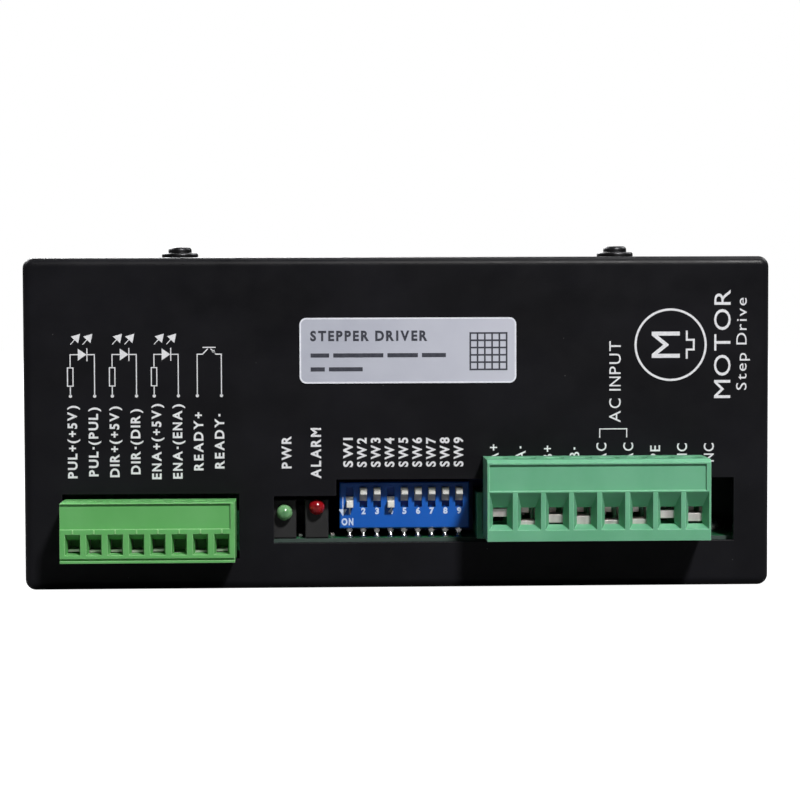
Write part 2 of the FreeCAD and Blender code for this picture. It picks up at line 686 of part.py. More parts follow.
# ---------------------------------------------------------------- switches and lamps
def knob_bottom(number):
    return SWITCH_SLOT_BOTTOM + 0.05 if number in SWITCHES_ON else SWITCH_SLOT_BOTTOM + 0.05 + KNOB_TRAVEL


def dip_switch_body(pins):
    half = SWITCH_WIDTH / 2
    rear = SWITCH_FACE + SWITCH_DEPTH
    body = box(SWITCH_CENTRE - half, SWITCH_CENTRE + half, SWITCH_FACE, rear, SWITCH_BOTTOM, SWITCH_TOP)
    body = body.makeChamfer(0.2, edges_at(body, Y_AXIS, SWITCH_FACE))
    slot_half = KNOB_WIDTH / 2 + 0.08
    shoe_room = SHOE_THICKNESS + 0.1
    cuts = []
    for x in switch_centres():
        cuts.append(box(x - slot_half, x + slot_half, SWITCH_FACE - 1, SWITCH_FACE + SWITCH_SKIN + 0.01,
                        SWITCH_SLOT_BOTTOM, SWITCH_SLOT_TOP))  # fmt: skip
        cuts.append(box(x - slot_half - 0.2, x + slot_half + 0.2, SWITCH_FACE + SWITCH_SKIN,
                        SWITCH_FACE + SWITCH_SKIN + shoe_room,
                        SWITCH_SLOT_BOTTOM - SHOE_BELOW, SWITCH_SLOT_TOP + SHOE_ABOVE))  # fmt: skip
    return body.cut(group(cuts)).cut(pins)


def dip_slider(number):
    """One switch knob with the shoe that runs behind the housing's skin."""
    x = switch_centres()[number - 1]
    half = KNOB_WIDTH / 2
    z = knob_bottom(number)
    shoe_front = SWITCH_FACE + SWITCH_SKIN + 0.05
    knob = box(x - half, x + half, SWITCH_FACE - KNOB_PROUD, shoe_front + 0.2, z, z + KNOB_HEIGHT)
    knob = knob.makeFillet(0.15, edges_at(knob, Y_AXIS, SWITCH_FACE - KNOB_PROUD))
    shoe = box(x - half - 0.1, x + half + 0.1, shoe_front, shoe_front + SHOE_THICKNESS - 0.05,
               z - SHOE_BELOW, z + KNOB_HEIGHT + SHOE_ABOVE)  # fmt: skip
    return fuse([knob, shoe])


def led_lens(index):
    x, z = LED_CENTRES[index]
    tip_centre = LED_HOLDER_FACE - 0.7
    barrel = rod(LED_RADIUS, 4.2, (x, tip_centre, z), Y_AXIS)
    dome = Part.makeSphere(LED_RADIUS, Vector(x, tip_centre, z))
    return fuse([barrel, dome])


def led_holders():
    """Black right-angle holders that stand on the main board, one for each lamp."""
    holders = []
    for x, z in LED_CENTRES:
        half = LED_HOLDER_WIDTH / 2
        rear = LED_HOLDER_FACE + LED_HOLDER_DEPTH
        block = box(x - half, x + half, LED_HOLDER_FACE, rear, BOARD_TOP, BOARD_TOP + LED_HOLDER_HEIGHT)
        block = block.makeFillet(0.3, edges_at(block, Y_AXIS, LED_HOLDER_FACE))
        holders.append(block.cut(rod(LED_RADIUS + 0.02, 3.55, (x, LED_HOLDER_FACE - 0.02, z), Y_AXIS)))
    return group(holders)


# ---------------------------------------------------------------- fan
def fan_frame(screw_holes):
    x1 = TRAY_X - CASE_SHEET
    x0 = x1 - FAN_DEPTH
    half = FAN_SIZE / 2
    frame = box(x0, x1, FAN_Y - half, FAN_Y + half, FAN_Z - half, FAN_Z + half)
    frame = frame.makeFillet(2.5, edges_along(frame, X_AXIS))
    frame = frame.cut(rod(FAN_BORE, FAN_DEPTH + 2, (x0 - 1, FAN_Y, FAN_Z), X_AXIS))
    cup = rod(FAN_HUB, 2.0, (x0, FAN_Y, FAN_Z), X_AXIS)
    boss = rod(3.0, 8.0, (x0, FAN_Y, FAN_Z), X_AXIS)
    spokes = []
    for k in range(4):
        spoke = box(x0, x0 + 1.6, FAN_Y - 1.0, FAN_Y + 1.0, FAN_Z, FAN_Z + FAN_BORE + 0.6)
        spoke.rotate(Vector(x0, FAN_Y, FAN_Z), X_AXIS, 45 + 90 * k)
        spokes.append(spoke)
    frame = fuse([frame, cup, boss] + spokes)
    bearing = rod(FAN_SHAFT + RUNNING_GAP, 7.0, (x0 + 1.5, FAN_Y, FAN_Z), X_AXIS)
    return frame.cut(bearing).cut(screw_holes)


def fan_rotor():
    """Hub cup, shaft and twisted blades."""
    x1 = TRAY_X - CASE_SHEET
    x0 = x1 - FAN_DEPTH + 3.0
    cup = rod(FAN_HUB, 10.6, (x0, FAN_Y, FAN_Z), X_AXIS)
    cup = cup.cut(rod(FAN_HUB - 1.2, 9.4, (x0 - 0.01, FAN_Y, FAN_Z), X_AXIS))
    shaft = rod(FAN_SHAFT, 11.0, (x0 - 1.0, FAN_Y, FAN_Z), X_AXIS)
    parts = [cup, shaft]
    for k in range(FAN_BLADES):
        blade = fan_blade(x0 + 0.8, x0 + 10.0)
        blade.rotate(Vector(0, FAN_Y, FAN_Z), X_AXIS, 360.0 * k / FAN_BLADES)
        parts.append(blade)
    return fuse(parts)


def fan_blade(x0, x1):
    """A blade lofted between a steep root section and a flatter tip section."""
    sections = []
    for radius, sweep in ((FAN_HUB - 0.6, 3.4), (FAN_TIP, 6.2)):
        half = 0.5
        corners = [(x0, -sweep - half), (x0, -sweep + half), (x1, sweep + half), (x1, sweep - half)]
        points = [Vector(x, FAN_Y + y, FAN_Z + radius) for x, y in corners]
        sections.append(Part.makePolygon(points + points[:1]))
    blade = Part.makeLoft(sections, True, True)
    sleeve = rod(FAN_TIP, 14, (x0 - 2, FAN_Y, FAN_Z), X_AXIS)
    return blade.common(sleeve)


def fan_guard(screw_holes):
    """Finger guard: wire rings on four radial wires that end under the fan's screws."""
    centre = Vector(TRAY_X + GUARD_WIRE, FAN_Y, FAN_Z)
    ring_centre = centre + X_AXIS * 0.9
    rings = [Part.makeTorus(radius, GUARD_WIRE, ring_centre, X_AXIS) for radius in (6.0, 11.5, 17.0)]
    wires = []
    corner = FAN_HOLE_SPACING / math.sqrt(2)
    for k in range(4):
        wire = Part.makeCylinder(GUARD_WIRE, corner - 3.0 - 5.4, centre + Z_AXIS * 5.4, Z_AXIS)
        eye = Part.makeTorus(2.6, GUARD_WIRE, centre + Z_AXIS * corner, X_AXIS)
        spoke = wire.fuse(eye)
        spoke.rotate(centre, X_AXIS, 45 + 90 * k)
        wires.append(spoke)
    return fuse(rings + wires).cut(screw_holes)


# ---------------------------------------------------------------- power electronics
PAD_THICKNESS = 0.3
DEVICE_REAR = SINK_FRONT - PAD_THICKNESS
DEVICE_FRONT = DEVICE_REAR - 4.5
DEVICE_BOTTOM = BOARD_TOP + 5.0
DEVICE_SCREW_Z = DEVICE_BOTTOM + 13.0
RECTIFIER_X = -50.0


def power_device(x, width, height, leads, spacing):
    """An upright power package with its leads bent down into the board's plane."""
    body = box(x - width / 2, x + width / 2, DEVICE_FRONT, DEVICE_REAR, DEVICE_BOTTOM, DEVICE_BOTTOM + height)
    lead_y = DEVICE_FRONT + 2.2
    parts = [body]
    for i in range(leads):
        lx = x + (i - (leads - 1) / 2) * spacing
        parts.append(box(lx - 0.4, lx + 0.4, lead_y - 0.25, lead_y + 0.25, BOARD_TOP, DEVICE_BOTTOM))
    return fuse(parts)


def power_transistors(screw_holes):
    return group([power_device(x, 10.2, 15.5, 3, 2.54).cut(screw_holes) for x in transistor_places()])


def bridge_rectifier(screw_holes):
    return power_device(RECTIFIER_X, 22.0, 17.0, 4, 5.0).cut(screw_holes)


def insulating_pad(screw_holes):
    x0, x1 = RECTIFIER_X - 12.5, transistor_places()[-1] + 7.0
    return box(x0, x1, DEVICE_REAR, SINK_FRONT, DEVICE_BOTTOM - 1.5, DEVICE_BOTTOM + 19.0).cut(screw_holes)


def bulk_capacitors():
    """Two upright electrolytic cans with a rolled groove near the foot."""
    cans = []
    radius, height = 12.5, 40.0
    for x in (-46.0, -18.5):
        can = rod(radius, height, (x, -58.0, BOARD_TOP), Z_AXIS)
        rim = [e for e in can.Edges if e.Length > 6 and e.CenterOfMass.z > BOARD_TOP + height / 2]
        can = can.makeFillet(1.2, rim)
        groove = Part.makeTorus(radius + 0.6, 1.2, Vector(x, -58.0, BOARD_TOP + 5.0), Z_AXIS)
        cans.append(can.cut(groove))
    return group(cans)


TRANSFORMER = (16.0, -56.0)


def transformer_core():
    """A ferrite core that loops through and round the winding."""
    x, y = TRANSFORMER
    z = BOARD_TOP + 4.0
    shell = box(x - 14, x + 14, y - 5, y + 5, z, z + 28)
    for side in (-1, 1):
        middle = x + side * 7.0
        shell = shell.cut(box(middle - 3.4, middle + 3.4, y - 6, y + 6, z + 4, z + 24))
    return shell


def transformer_winding():
    """The coil on its bobbin, round the core's middle leg."""
    x, y = TRANSFORMER
    z = BOARD_TOP + 8.1
    coil = box(x - 9.9, x + 9.9, y - 11, y + 11, z, z + 19.8)
    coil = coil.makeFillet(3.0, edges_along(coil, Z_AXIS))
    leg = box(x - 3.7, x + 3.7, y - 5.1, y + 5.1, z - 1, z + 21)
    coil = coil.cut(leg)
    feet = [box(x - 9, x + 9, y + a, y + a + 4, BOARD_TOP, z + 0.5) for a in (-10.5, 6.5)]
    return fuse([coil] + feet)


def filter_choke():
    """A wound toroid that stands on its edge."""
    ring = Part.makeTorus(7.4, 3.6, Vector(38.0, -64.5, BOARD_TOP + 11.2), X_AXIS)
    foot = box(34.6, 41.4, -70.5, -58.5, BOARD_TOP, BOARD_TOP + 1.5)
    return fuse([ring, foot])


def inrush_relay():
    relay = box(-2.0, 17.0, -84.0, -70.0, BOARD_TOP + 0.3, BOARD_TOP + 15.5)
    relay = relay.makeFillet(0.8, edges_at(relay, Z_AXIS, BOARD_TOP + 15.5))
    stands = [box(x, x + 2, -82.0, -72.0, BOARD_TOP, BOARD_TOP + 0.4) for x in (-1.0, 14.0)]
    return fuse([relay] + stands)


def line_fuse():
    """A glass tube with metal end caps, held in two clips."""
    x0, y, z = 22.0, -79.5, BOARD_TOP + 5.0
    tube = rod(2.3, 20.0, (x0 - 4, y, z), X_AXIS)
    caps = [rod(2.6, 5.0, (x, y, z), X_AXIS) for x in (x0 - 4, x0 + 11)]
    clips = [box(x, x + 3, y - 2.0, y + 2.0, BOARD_TOP, z) for x in (x0 - 3, x0 + 12)]
    return fuse([tube] + caps + clips)


# ---------------------------------------------------------------- assembly
def build():
    outer_holes = holes(panel_screw_list() + case_screw_list())
    inner_holes = holes(inner_screw_list())
    all_holes = group([outer_holes, inner_holes])
    pins = board_pins()
    parts = {
        "front_panel": front_panel(outer_holes),
        "top_cover": top_cover(outer_holes),
        "base_tray": base_tray(outer_holes),
        "heat_sink": heat_sink(all_holes),
        "mounting_plate": mounting_plate(outer_holes),
        "rating_label": rating_label(),
        "panel_screws": panel_screws(),
        "case_screws": case_screws(),
        "inner_screws": inner_screws(),
        "board_standoffs": board_standoffs().cut(inner_holes),
        "main_board": main_board(pins, inner_holes),
        "control_board": control_board(pins),
        "board_pins": pins,
        "signal_header": header(
            SIGNAL, FRONT + 1.7, CONTROL_FRONT, FLOOR + 7.0, FLOOR + 14.5, 1.0, pins
        ),
        "power_header": header(
            POWER, FRONT + 0.4, POWER_HEADER_REAR, BOARD_TOP, BOARD_TOP + 8.5, 0.95, pins
        ),
        "signal_plug_body": plug_body(SIGNAL),
        "signal_plug_terminals": plug_terminals(SIGNAL),
        "power_plug_body": plug_body(POWER),
        "power_plug_terminals": plug_terminals(POWER),
        "dip_switch_body": dip_switch_body(pins),
        "led_holders": led_holders(),
        "power_led": led_lens(0),
        "alarm_led": led_lens(1),
        "fan_frame": fan_frame(outer_holes),
        "fan_rotor": fan_rotor(),
        "fan_guard": fan_guard(outer_holes),
        "power_transistors": power_transistors(inner_holes),
        "bridge_rectifier": bridge_rectifier(inner_holes),
        "insulating_pad": insulating_pad(inner_holes),
        "bulk_capacitors": bulk_capacitors(),
        "transformer_core": transformer_core(),
        "transformer_winding": transformer_winding(),
        "filter_choke": filter_choke(),
        "inrush_relay": inrush_relay(),
        "line_fuse": line_fuse(),
    }
    for number in range(1, SWITCH_COUNT + 1):
        parts[f"dip_slider_{number}"] = dip_slider(number)
    for name, block, lifts in (("signal", SIGNAL, SIGNAL_LIFT), ("power", POWER, POWER_LIFT)):
        for number, (x, lift) in enumerate(zip(pole_centres(block), lifts), 1):
            parts[f"{name}_clamp_{number}"] = clamp(block, x, lift)
    return parts


def main():
    os.makedirs("parts", exist_ok=True)
    for name, shape in build().items():
        if not shape.isValid() or not shape.Solids:
            raise ValueError(f"{name} is not a valid solid")
        shape.exportStep(f"parts/{name}.step")


main()
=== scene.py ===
"""Looks, print and small surface details for the stepper motor driver, built around its CAD frame."""

import math

import bmesh
import bpy
from mathutils import Matrix, Vector


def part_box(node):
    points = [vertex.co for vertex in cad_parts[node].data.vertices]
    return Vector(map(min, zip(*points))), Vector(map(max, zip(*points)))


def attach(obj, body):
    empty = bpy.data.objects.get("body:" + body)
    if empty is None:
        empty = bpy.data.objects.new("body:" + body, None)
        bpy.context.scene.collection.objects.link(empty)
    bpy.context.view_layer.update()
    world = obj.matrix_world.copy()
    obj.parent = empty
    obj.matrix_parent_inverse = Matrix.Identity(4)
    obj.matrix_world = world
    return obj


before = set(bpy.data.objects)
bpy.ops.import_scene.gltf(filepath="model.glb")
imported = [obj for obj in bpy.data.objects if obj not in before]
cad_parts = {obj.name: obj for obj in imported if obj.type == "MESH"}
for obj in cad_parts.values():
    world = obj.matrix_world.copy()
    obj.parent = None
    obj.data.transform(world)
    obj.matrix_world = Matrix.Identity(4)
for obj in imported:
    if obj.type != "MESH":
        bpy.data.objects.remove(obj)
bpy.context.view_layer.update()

MM = 0.001
FONT_CAP = 0.682  # capital height of the built-in font at size 1
INK_THICKNESS = 0.03  # millimetres, as all sizes of print below

PANEL_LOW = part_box("front_panel")[0]
LABEL_LOW, LABEL_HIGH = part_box("rating_label")
SWITCH_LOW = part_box("dip_switch_body")[0]
SWITCH_COUNT = 9


# ---------------------------------------------------------------- print and flat shapes


def plane(origin, right, up, out):
    """The matrix that sends (u, v, height) in millimetres on a flat face to the row frame in metres."""
    turn = Matrix((right, up, out)).transposed().to_4x4()
    return Matrix.Translation(origin) @ turn @ Matrix.Scale(MM, 4)


def facing_front(x, y, z):
    """A plane that faces the front, with its own origin at this point in metres."""
    return plane((x, y, z), (1, 0, 0), (0, 0, 1), (0, -1, 0))


def new_piece(name, mesh, look, body):
    """Puts a bmesh in the row frame into the scene as one piece that rides on a body."""
    bmesh.ops.recalc_face_normals(mesh, faces=mesh.faces)
    data = bpy.data.meshes.new(name)
    mesh.to_mesh(data)
    mesh.free()
    data.materials.append(look)
    piece = bpy.data.objects.new(name, data)
    bpy.context.scene.collection.objects.link(piece)
    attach(piece, body)
    return piece


GLYPH_WIDTHS = {"+": 0.88, "-": 0.62, "C": 0.9, "N": 0.88}  # shares of the font's own widths
LETTER_GAP, WORD_GAP = 0.22, 0.45  # shares of the capital height


class Glyphs:
    """Letters of the built-in font as flat meshes, each with a capital height of 1."""

    def __init__(self):
        self.made = {}

    def get(self, letter, weight):
        """The mesh of a letter, and its left and right ends."""
        if (letter, weight) not in self.made:
            self.made[letter, weight] = self.build(letter, weight)
        return self.made[letter, weight]

    def build(self, letter, weight):
        curve = bpy.data.curves.new("glyph", "FONT")
        curve.body = letter
        curve.offset = weight
        curve.resolution_u = 4
        holder = bpy.data.objects.new("glyph", curve)
        bpy.context.scene.collection.objects.link(holder)
        graph = bpy.context.evaluated_depsgraph_get()
        data = bpy.data.meshes.new_from_object(holder.evaluated_get(graph))
        bpy.data.objects.remove(holder)
        bpy.data.curves.remove(curve)
        scale = 1 / (FONT_CAP + 2 * weight)
        data.transform(Matrix.Scale(scale, 4) @ Matrix.Translation((0, weight, 0)))
        if letter in "+-":
            middle = Vector((0, 0.5, 0)) - sum((v.co for v in data.vertices), Vector()) / len(data.vertices)
            data.transform(Matrix.Translation((0, middle.y, 0)))
        data.transform(Matrix.Scale(GLYPH_WIDTHS.get(letter, 1.0), 4, (1, 0, 0)))
        ends = [v.co.x for v in data.vertices]
        return data, min(ends), max(ends)


GLYPHS = Glyphs()


class Ink:
    """Flat shapes on a face, collected in millimetres along its own u and v, then given a thickness."""

    def __init__(self):
        self.mesh = bmesh.new()

    def polygon(self, points):
        self.mesh.faces.new([self.mesh.verts.new((u, v, 0)) for u, v in points])

    def bar(self, u, v, width, height):
        self.polygon([(u, v), (u + width, v), (u + width, v + height), (u, v + height)])

    def strip(self, left, right, closed=False):
        """Four-sided faces between two rows of points."""
        rows = [[self.mesh.verts.new((u, v, 0)) for u, v in row] for row in (left, right)]
        count = len(left)
        for i in range(count if closed else count - 1):
            j = (i + 1) % count
            self.mesh.faces.new((rows[0][i], rows[0][j], rows[1][j], rows[1][i]))

    def line(self, points, width, closed=False):
        """A stroke of one width along a path, with mitred corners."""
        path = [Vector(p) for p in points]
        count = len(path)
        left, right = [], []
        for i, point in enumerate(path):
            before = path[i - 1] if closed or i else None
            after = path[(i + 1) % count] if closed or i < count - 1 else None
            ways = [(point - before).normalized() if before is not None else (after - point).normalized()]
            ways.append((after - point).normalized() if after is not None else ways[0])
            sides = [Vector((-way.y, way.x)) for way in ways]
            mitre = (sides[0] + sides[1]).normalized()
            reach = width / 2 / max(mitre.dot(sides[0]), 0.3)
            left.append(point + mitre * reach)
            right.append(point - mitre * reach)
        self.strip(left, right, closed)

    def circle(self, u, v, radius, sides):
        turns = [2 * math.pi * i / sides for i in range(sides)]
        return [(u + radius * math.cos(a), v + radius * math.sin(a)) for a in turns]

    def disc(self, u, v, radius, sides=20):
        self.polygon(self.circle(u, v, radius, sides))

    def ring(self, u, v, radius, width, sides=64):
        self.strip(self.circle(u, v, radius, sides), self.circle(u, v, radius - width, sides), True)

    def words(self, text, centre, height, weight=0.03, upwards=False, length=None):
        """Lettering about its centre, stretched to a length if one is given."""
        placed, along = [], 0.0
        for letter in text:
            if letter == " ":
                along += WORD_GAP
                continue
            data, left, right = GLYPHS.get(letter, weight)
            placed.append((data, along - left))
            along += right - left + LETTER_GAP
        total = along - LETTER_GAP
        stretch = length / (total * height) if length else 1.0
        turn = Matrix.Rotation(math.pi / 2 if upwards else 0, 4, "Z")
        size = Matrix.Diagonal((height * stretch, height, 1, 1))
        frame_of_text = Matrix.Translation((*centre, 0)) @ turn @ size
        for data, start in placed:
            letter_mesh = data.copy()
            letter_mesh.transform(frame_of_text @ Matrix.Translation((start - total / 2, -0.5, 0)))
            self.mesh.from_mesh(letter_mesh)
            bpy.data.meshes.remove(letter_mesh)

    def piece(self, name, place, look, body, slot, thickness=INK_THICKNESS):
        """Thickens the shapes outwards from the face and puts them in the scene."""
        for face in self.mesh.faces:
            face.smooth = False
        made = bmesh.ops.extrude_face_region(self.mesh, geom=self.mesh.faces[:])
        raised = [g for g in made["geom"] if isinstance(g, bmesh.types.BMVert)]
        bmesh.ops.translate(self.mesh, verts=raised, vec=(0, 0, thickness))
        self.mesh.transform(place)
        return new_piece(name, self.mesh, look, body)


# ---------------------------------------------------------------- materials


def tone(red, green, blue):
    """A colour given as it looks on a screen, from 0 to 255, as the linear colour that shaders use."""
    channels = [c / 255 for c in (red, green, blue)]
    linear = [c / 12.92 if c <= 0.04045 else ((c + 0.055) / 1.055) ** 2.4 for c in channels]
    return (*linear, 1.0)


class Look:
    """A material's node graph around one shader. Sizes are in metres, in the row frame's coordinates."""

    def __init__(self, name, colour, roughness, metallic=0.0, specular=0.5):
        self.material = bpy.data.materials.new(name)
        self.material.use_nodes = True
        self.tree = self.material.node_tree
        self.shader = next(n for n in self.tree.nodes if n.type == "BSDF_PRINCIPLED")
        self.place = self.node("ShaderNodeTexCoord").outputs["Object"]
        self.surface = None
        self.set("Base Color", colour)
        self.set("Roughness", roughness)
        self.set("Metallic", metallic)
        self.set("Specular IOR Level", specular)

    def node(self, kind, inputs=None, **settings):
        made = self.tree.nodes.new(kind)
        for setting, value in settings.items():
            setattr(made, setting, value)
        for socket, value in (inputs or {}).items():
            self.feed(made.inputs[socket], value)
        return made

    def feed(self, socket, value):
        if isinstance(value, bpy.types.NodeSocket):
            self.tree.links.new(value, socket)
        else:
            socket.default_value = value

    def set(self, socket, value):
        self.feed(self.shader.inputs[socket], value)

    def scaled(self, size, stretch):
        """Coordinates in which one unit is size metres, drawn out along the axes whose stretch is over 1."""
        scale = [1 / (size * s) for s in stretch]
        return self.node("ShaderNodeMapping", {"Vector": self.place, "Scale": scale}).outputs[0]

    def noise(self, size, detail=2.0, stretch=(1, 1, 1)):
        place = self.scaled(size, stretch)
        return self.node("ShaderNodeTexNoise", {"Vector": place, "Scale": 1.0, "Detail": detail}).outputs[0]

    def cells(self, size, stretch=(1, 1, 1)):
        place = self.scaled(size, stretch)
        return self.node("ShaderNodeTexVoronoi", {"Vector": place, "Scale": 1.0}).outputs["Distance"]

    def spread(self, source, low, high, start=0.0, end=1.0):
        """source from low to high, as a value from start to end."""
        inputs = {"Value": source, "From Min": low, "From Max": high, "To Min": start, "To Max": end}
        return self.node("ShaderNodeMapRange", inputs).outputs[0]

    def maths(self, operation, *values):
        return self.node("ShaderNodeMath", dict(enumerate(values)), operation=operation).outputs[0]

    def mix(self, share, first, second):
        return self.node("ShaderNodeMix", {0: share, 6: first, 7: second}, data_type="RGBA").outputs[2]

    def axis(self, name):
        """One coordinate of the row frame."""
        return self.node("ShaderNodeSeparateXYZ", {0: self.place}).outputs[name]

    def facing(self, name):
        """How squarely the surface faces along one axis, from 0 to 1."""
        normal = self.node("ShaderNodeNewGeometry").outputs["Normal"]
        return self.maths("ABSOLUTE", self.node("ShaderNodeSeparateXYZ", {0: normal}).outputs[name])

    def soften(self, radius):
        """Lights sharp edges as if they had this radius."""
        self.surface = self.node("ShaderNodeBevel", {"Radius": radius}, samples=4).outputs[0]
        self.set("Normal", self.surface)

    def edges(self, radius):
        """Where the surface is within a radius of a sharp edge, from 0 to 1."""
        rounded = self.node("ShaderNodeBevel", {"Radius": radius}, samples=4).outputs[0]
        normal = self.node("ShaderNodeNewGeometry").outputs["Normal"]
        match = self.node("ShaderNodeVectorMath", {0: rounded, 1: normal}, operation="DOT_PRODUCT")
        return self.spread(match.outputs["Value"], 0.98, 0.7)

    def relief(self, height, depth, strength=1.0):
        """Raises the surface by a pattern, up to depth metres."""
        inputs = {"Height": height, "Distance": depth, "Strength": strength}
        if self.surface is not None:
            inputs["Normal"] = self.surface
        self.surface = self.node("ShaderNodeBump", inputs).outputs[0]
        self.set("Normal", self.surface)

    def vary(self, size, colours, detail=3.0, stretch=(1, 1, 1)):
        """Colour that drifts between two tones over patches of a size."""
        colour = self.mix(self.spread(self.noise(size, detail, stretch), 0.35, 0.65), *colours)
        self.set("Base Color", colour)
        return colour

    def rough(self, size, low, high, detail=3.0, stretch=(1, 1, 1)):
        """Roughness that drifts between two values over patches of a size."""
        self.set("Roughness", self.spread(self.noise(size, detail, stretch), 0.3, 0.7, low, high))


def powder_coat(name, dark, light, grain, roughness):
    """Black powder coat on sheet metal: a fine orange peel, faint patches, and a few specks of dust."""
    look = Look(name, dark, roughness, specular=0.15)
    look.soften(0.25 * MM)
    colour = look.vary(14 * MM, (dark, light), stretch=(1.6, 1, 1))
    colour = look.mix(look.spread(look.edges(0.35 * MM), 0, 1, 0, 0.35), colour, tone(62, 62, 66))
    dust = look.spread(look.cells(4.2 * MM), 0.028, 0.02)
    colour = look.mix(look.maths("MULTIPLY", dust, 0.3), colour, tone(120, 120, 122))
    look.set("Base Color", colour)
    look.rough(5 * MM, roughness - 0.05, roughness + 0.07)
    look.relief(look.cells(grain), 0.012 * MM, 0.6)
    look.relief(look.noise(grain * 0.4, 2), 0.006 * MM, 0.5)
    return look.material


def anodised(name):
    """Black anodised extrusion: drawing lines along X, with edges paled by wear."""
    look = Look(name, tone(38, 38, 42), 0.42, metallic=0.3, specular=0.3)
    look.soften(0.2 * MM)
    lines = look.noise(0.35 * MM, 3, (60, 1, 1))
    colour = look.mix(look.spread(lines, 0.3, 0.7), tone(30, 30, 34), tone(44, 44, 49))
    edge_wear_and_highlight = look.maths("MULTIPLY", look.edges(0.3 * MM), look.spread(look.noise(3 * MM, 4), 0.35, 0.75))
    look.set("Base Color", look.mix(edge_wear_and_highlight, colour, tone(104, 104, 110)))
    look.rough(0.5 * MM, 0.42, 0.56, stretch=(50, 1, 1))
    look.relief(lines, 0.01 * MM, 0.5)
    return look.material


def plated(name, colours, roughness, stretch=(1, 1, 1)):
    """Plated or tinned metal with faint marks from handling or stamping."""
    look = Look(name, colours[0], roughness, metallic=1.0)
    look.soften(0.08 * MM)
    look.vary(1.5 * MM, colours, 4, stretch)
    look.rough(0.8 * MM, roughness - 0.07, roughness + 0.12, stretch=stretch)
    look.relief(look.noise(0.3 * MM, 4, stretch), 0.008 * MM, 0.6)
    return look.material


def moulded(name, colours, edge_highlight_colour, roughness, edge=0.16 * MM, inside=0.12, glow=(0.6, 1.0, 0.6)):
    """Moulded plastic: slight flow marks, a fine spark-eroded grain, and a painted highlight along its
    edges.
    """
    look = Look(name, colours[0], roughness, specular=0.45)
    look.soften(edge * 0.7)
    colour = look.vary(5 * MM, colours, 3, (1.5, 1, 2.2))
    uneven = look.spread(look.noise(1.2 * MM, 3), 0.2, 0.6, 0.55, 1.0)
    # Painted highlight: a paler colour mixed in unevenly near sharp edges, as if they caught the light.
    edge_wear_and_highlight = look.maths("MULTIPLY", look.edges(edge), uneven)
    look.set("Base Color", look.mix(edge_wear_and_highlight, colour, edge_highlight_colour))
    look.rough(2 * MM, roughness - 0.05, roughness + 0.08)
    look.relief(look.noise(0.09 * MM, 2), 0.006 * MM, 0.35)
    if inside:
        look.set("Subsurface Weight", inside)
        look.set("Subsurface Radius", glow)
        look.set("Subsurface Scale", 0.9 * MM)
    return look.material


def silver_film_painted_sheen(name, left, right):
    """Matt silver polyester film with a fine sparkle, and a painted reflection brightening it towards the
    right.
    """
    look = Look(name, tone(186, 190, 205), 0.38, metallic=0.2)
    patches = look.spread(look.noise(6 * MM, 2), 0.35, 0.65)
    cloud = look.mix(patches, tone(186, 190, 204), tone(194, 198, 211))
    # Painted reflection: the colour brightens along X from the left place to the right one.
    along = look.spread(look.axis("X"), left, right)
    look.set("Base Color", look.mix(along, cloud, tone(214, 216, 229)))
    look.rough(0.4 * MM, 0.32, 0.46)
    look.relief(look.noise(0.12 * MM, 3), 0.004 * MM, 0.5)
    return look.material


def print_ink(name, colours, roughness=0.6):
    """Screen-printed ink: slightly uneven cover, and a soft grain."""
    look = Look(name, colours[0], roughness, specular=0.3)
    look.vary(0.5 * MM, colours, 4)
    look.rough(0.3 * MM, roughness - 0.08, roughness + 0.08)
    look.relief(look.noise(0.08 * MM, 2), 0.004 * MM, 0.5)
    return look.material


def solder_mask(name, across):
    """Green solder mask over copper tracks. The board is thin along across, where its cut edges show."""
    look = Look(name, tone(38, 92, 60), 0.35)
    tracks = look.spread(look.cells(2.6 * MM, (1, 1, 1)), 0.42, 0.46)
    masked = look.mix(tracks, tone(30, 84, 54), tone(46, 112, 74))
    cut = look.mix(look.noise(0.25 * MM, 3, (8, 8, 1)), tone(42, 58, 53), tone(68, 86, 79))
    flat = look.spread(look.facing(across), 0.4, 0.6)
    look.set("Base Color", look.mix(flat, cut, masked))
    look.set("Roughness", look.spread(flat, 0, 1, 0.7, 0.34))
    look.relief(tracks, 0.03 * MM, 0.4)
    return look.material


def lens(name, node, outer, inner):
    """Diffused epoxy lamp, unlit: its colour deepens towards the chip on its axis."""
    low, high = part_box(node)
    middle = (low + high) / 2
    look = Look(name, outer, 0.22)
    centre = (middle.x, 0, middle.z)
    off_axis = look.node("ShaderNodeVectorMath", {0: look.place, 1: centre}, operation="SUBTRACT")
    flat = look.node("ShaderNodeVectorMath", {0: off_axis.outputs[0], 1: (1, 0, 1)}, operation="MULTIPLY")
    reach = look.node("ShaderNodeVectorMath", {0: flat.outputs[0]}, operation="LENGTH").outputs["Value"]
    cloud = look.maths("MULTIPLY", look.noise(0.5 * MM, 3), 0.35 * MM)
    near = look.spread(look.maths("ADD", reach, cloud), 0.25 * MM, 1.3 * MM)
    look.set("Base Color", look.mix(near, inner, outer))
    look.rough(0.6 * MM, 0.16, 0.3)
    look.set("Subsurface Weight", 0.35)
    look.set("Subsurface Radius", (1.0, 1.0, 0.8))
    look.set("Subsurface Scale", 0.6 * MM)
    look.set("Coat Weight", 0.5)
    look.set("Coat Roughness", 0.08)
    look.relief(look.noise(0.4 * MM, 2), 0.01 * MM, 0.3)
    return look.material


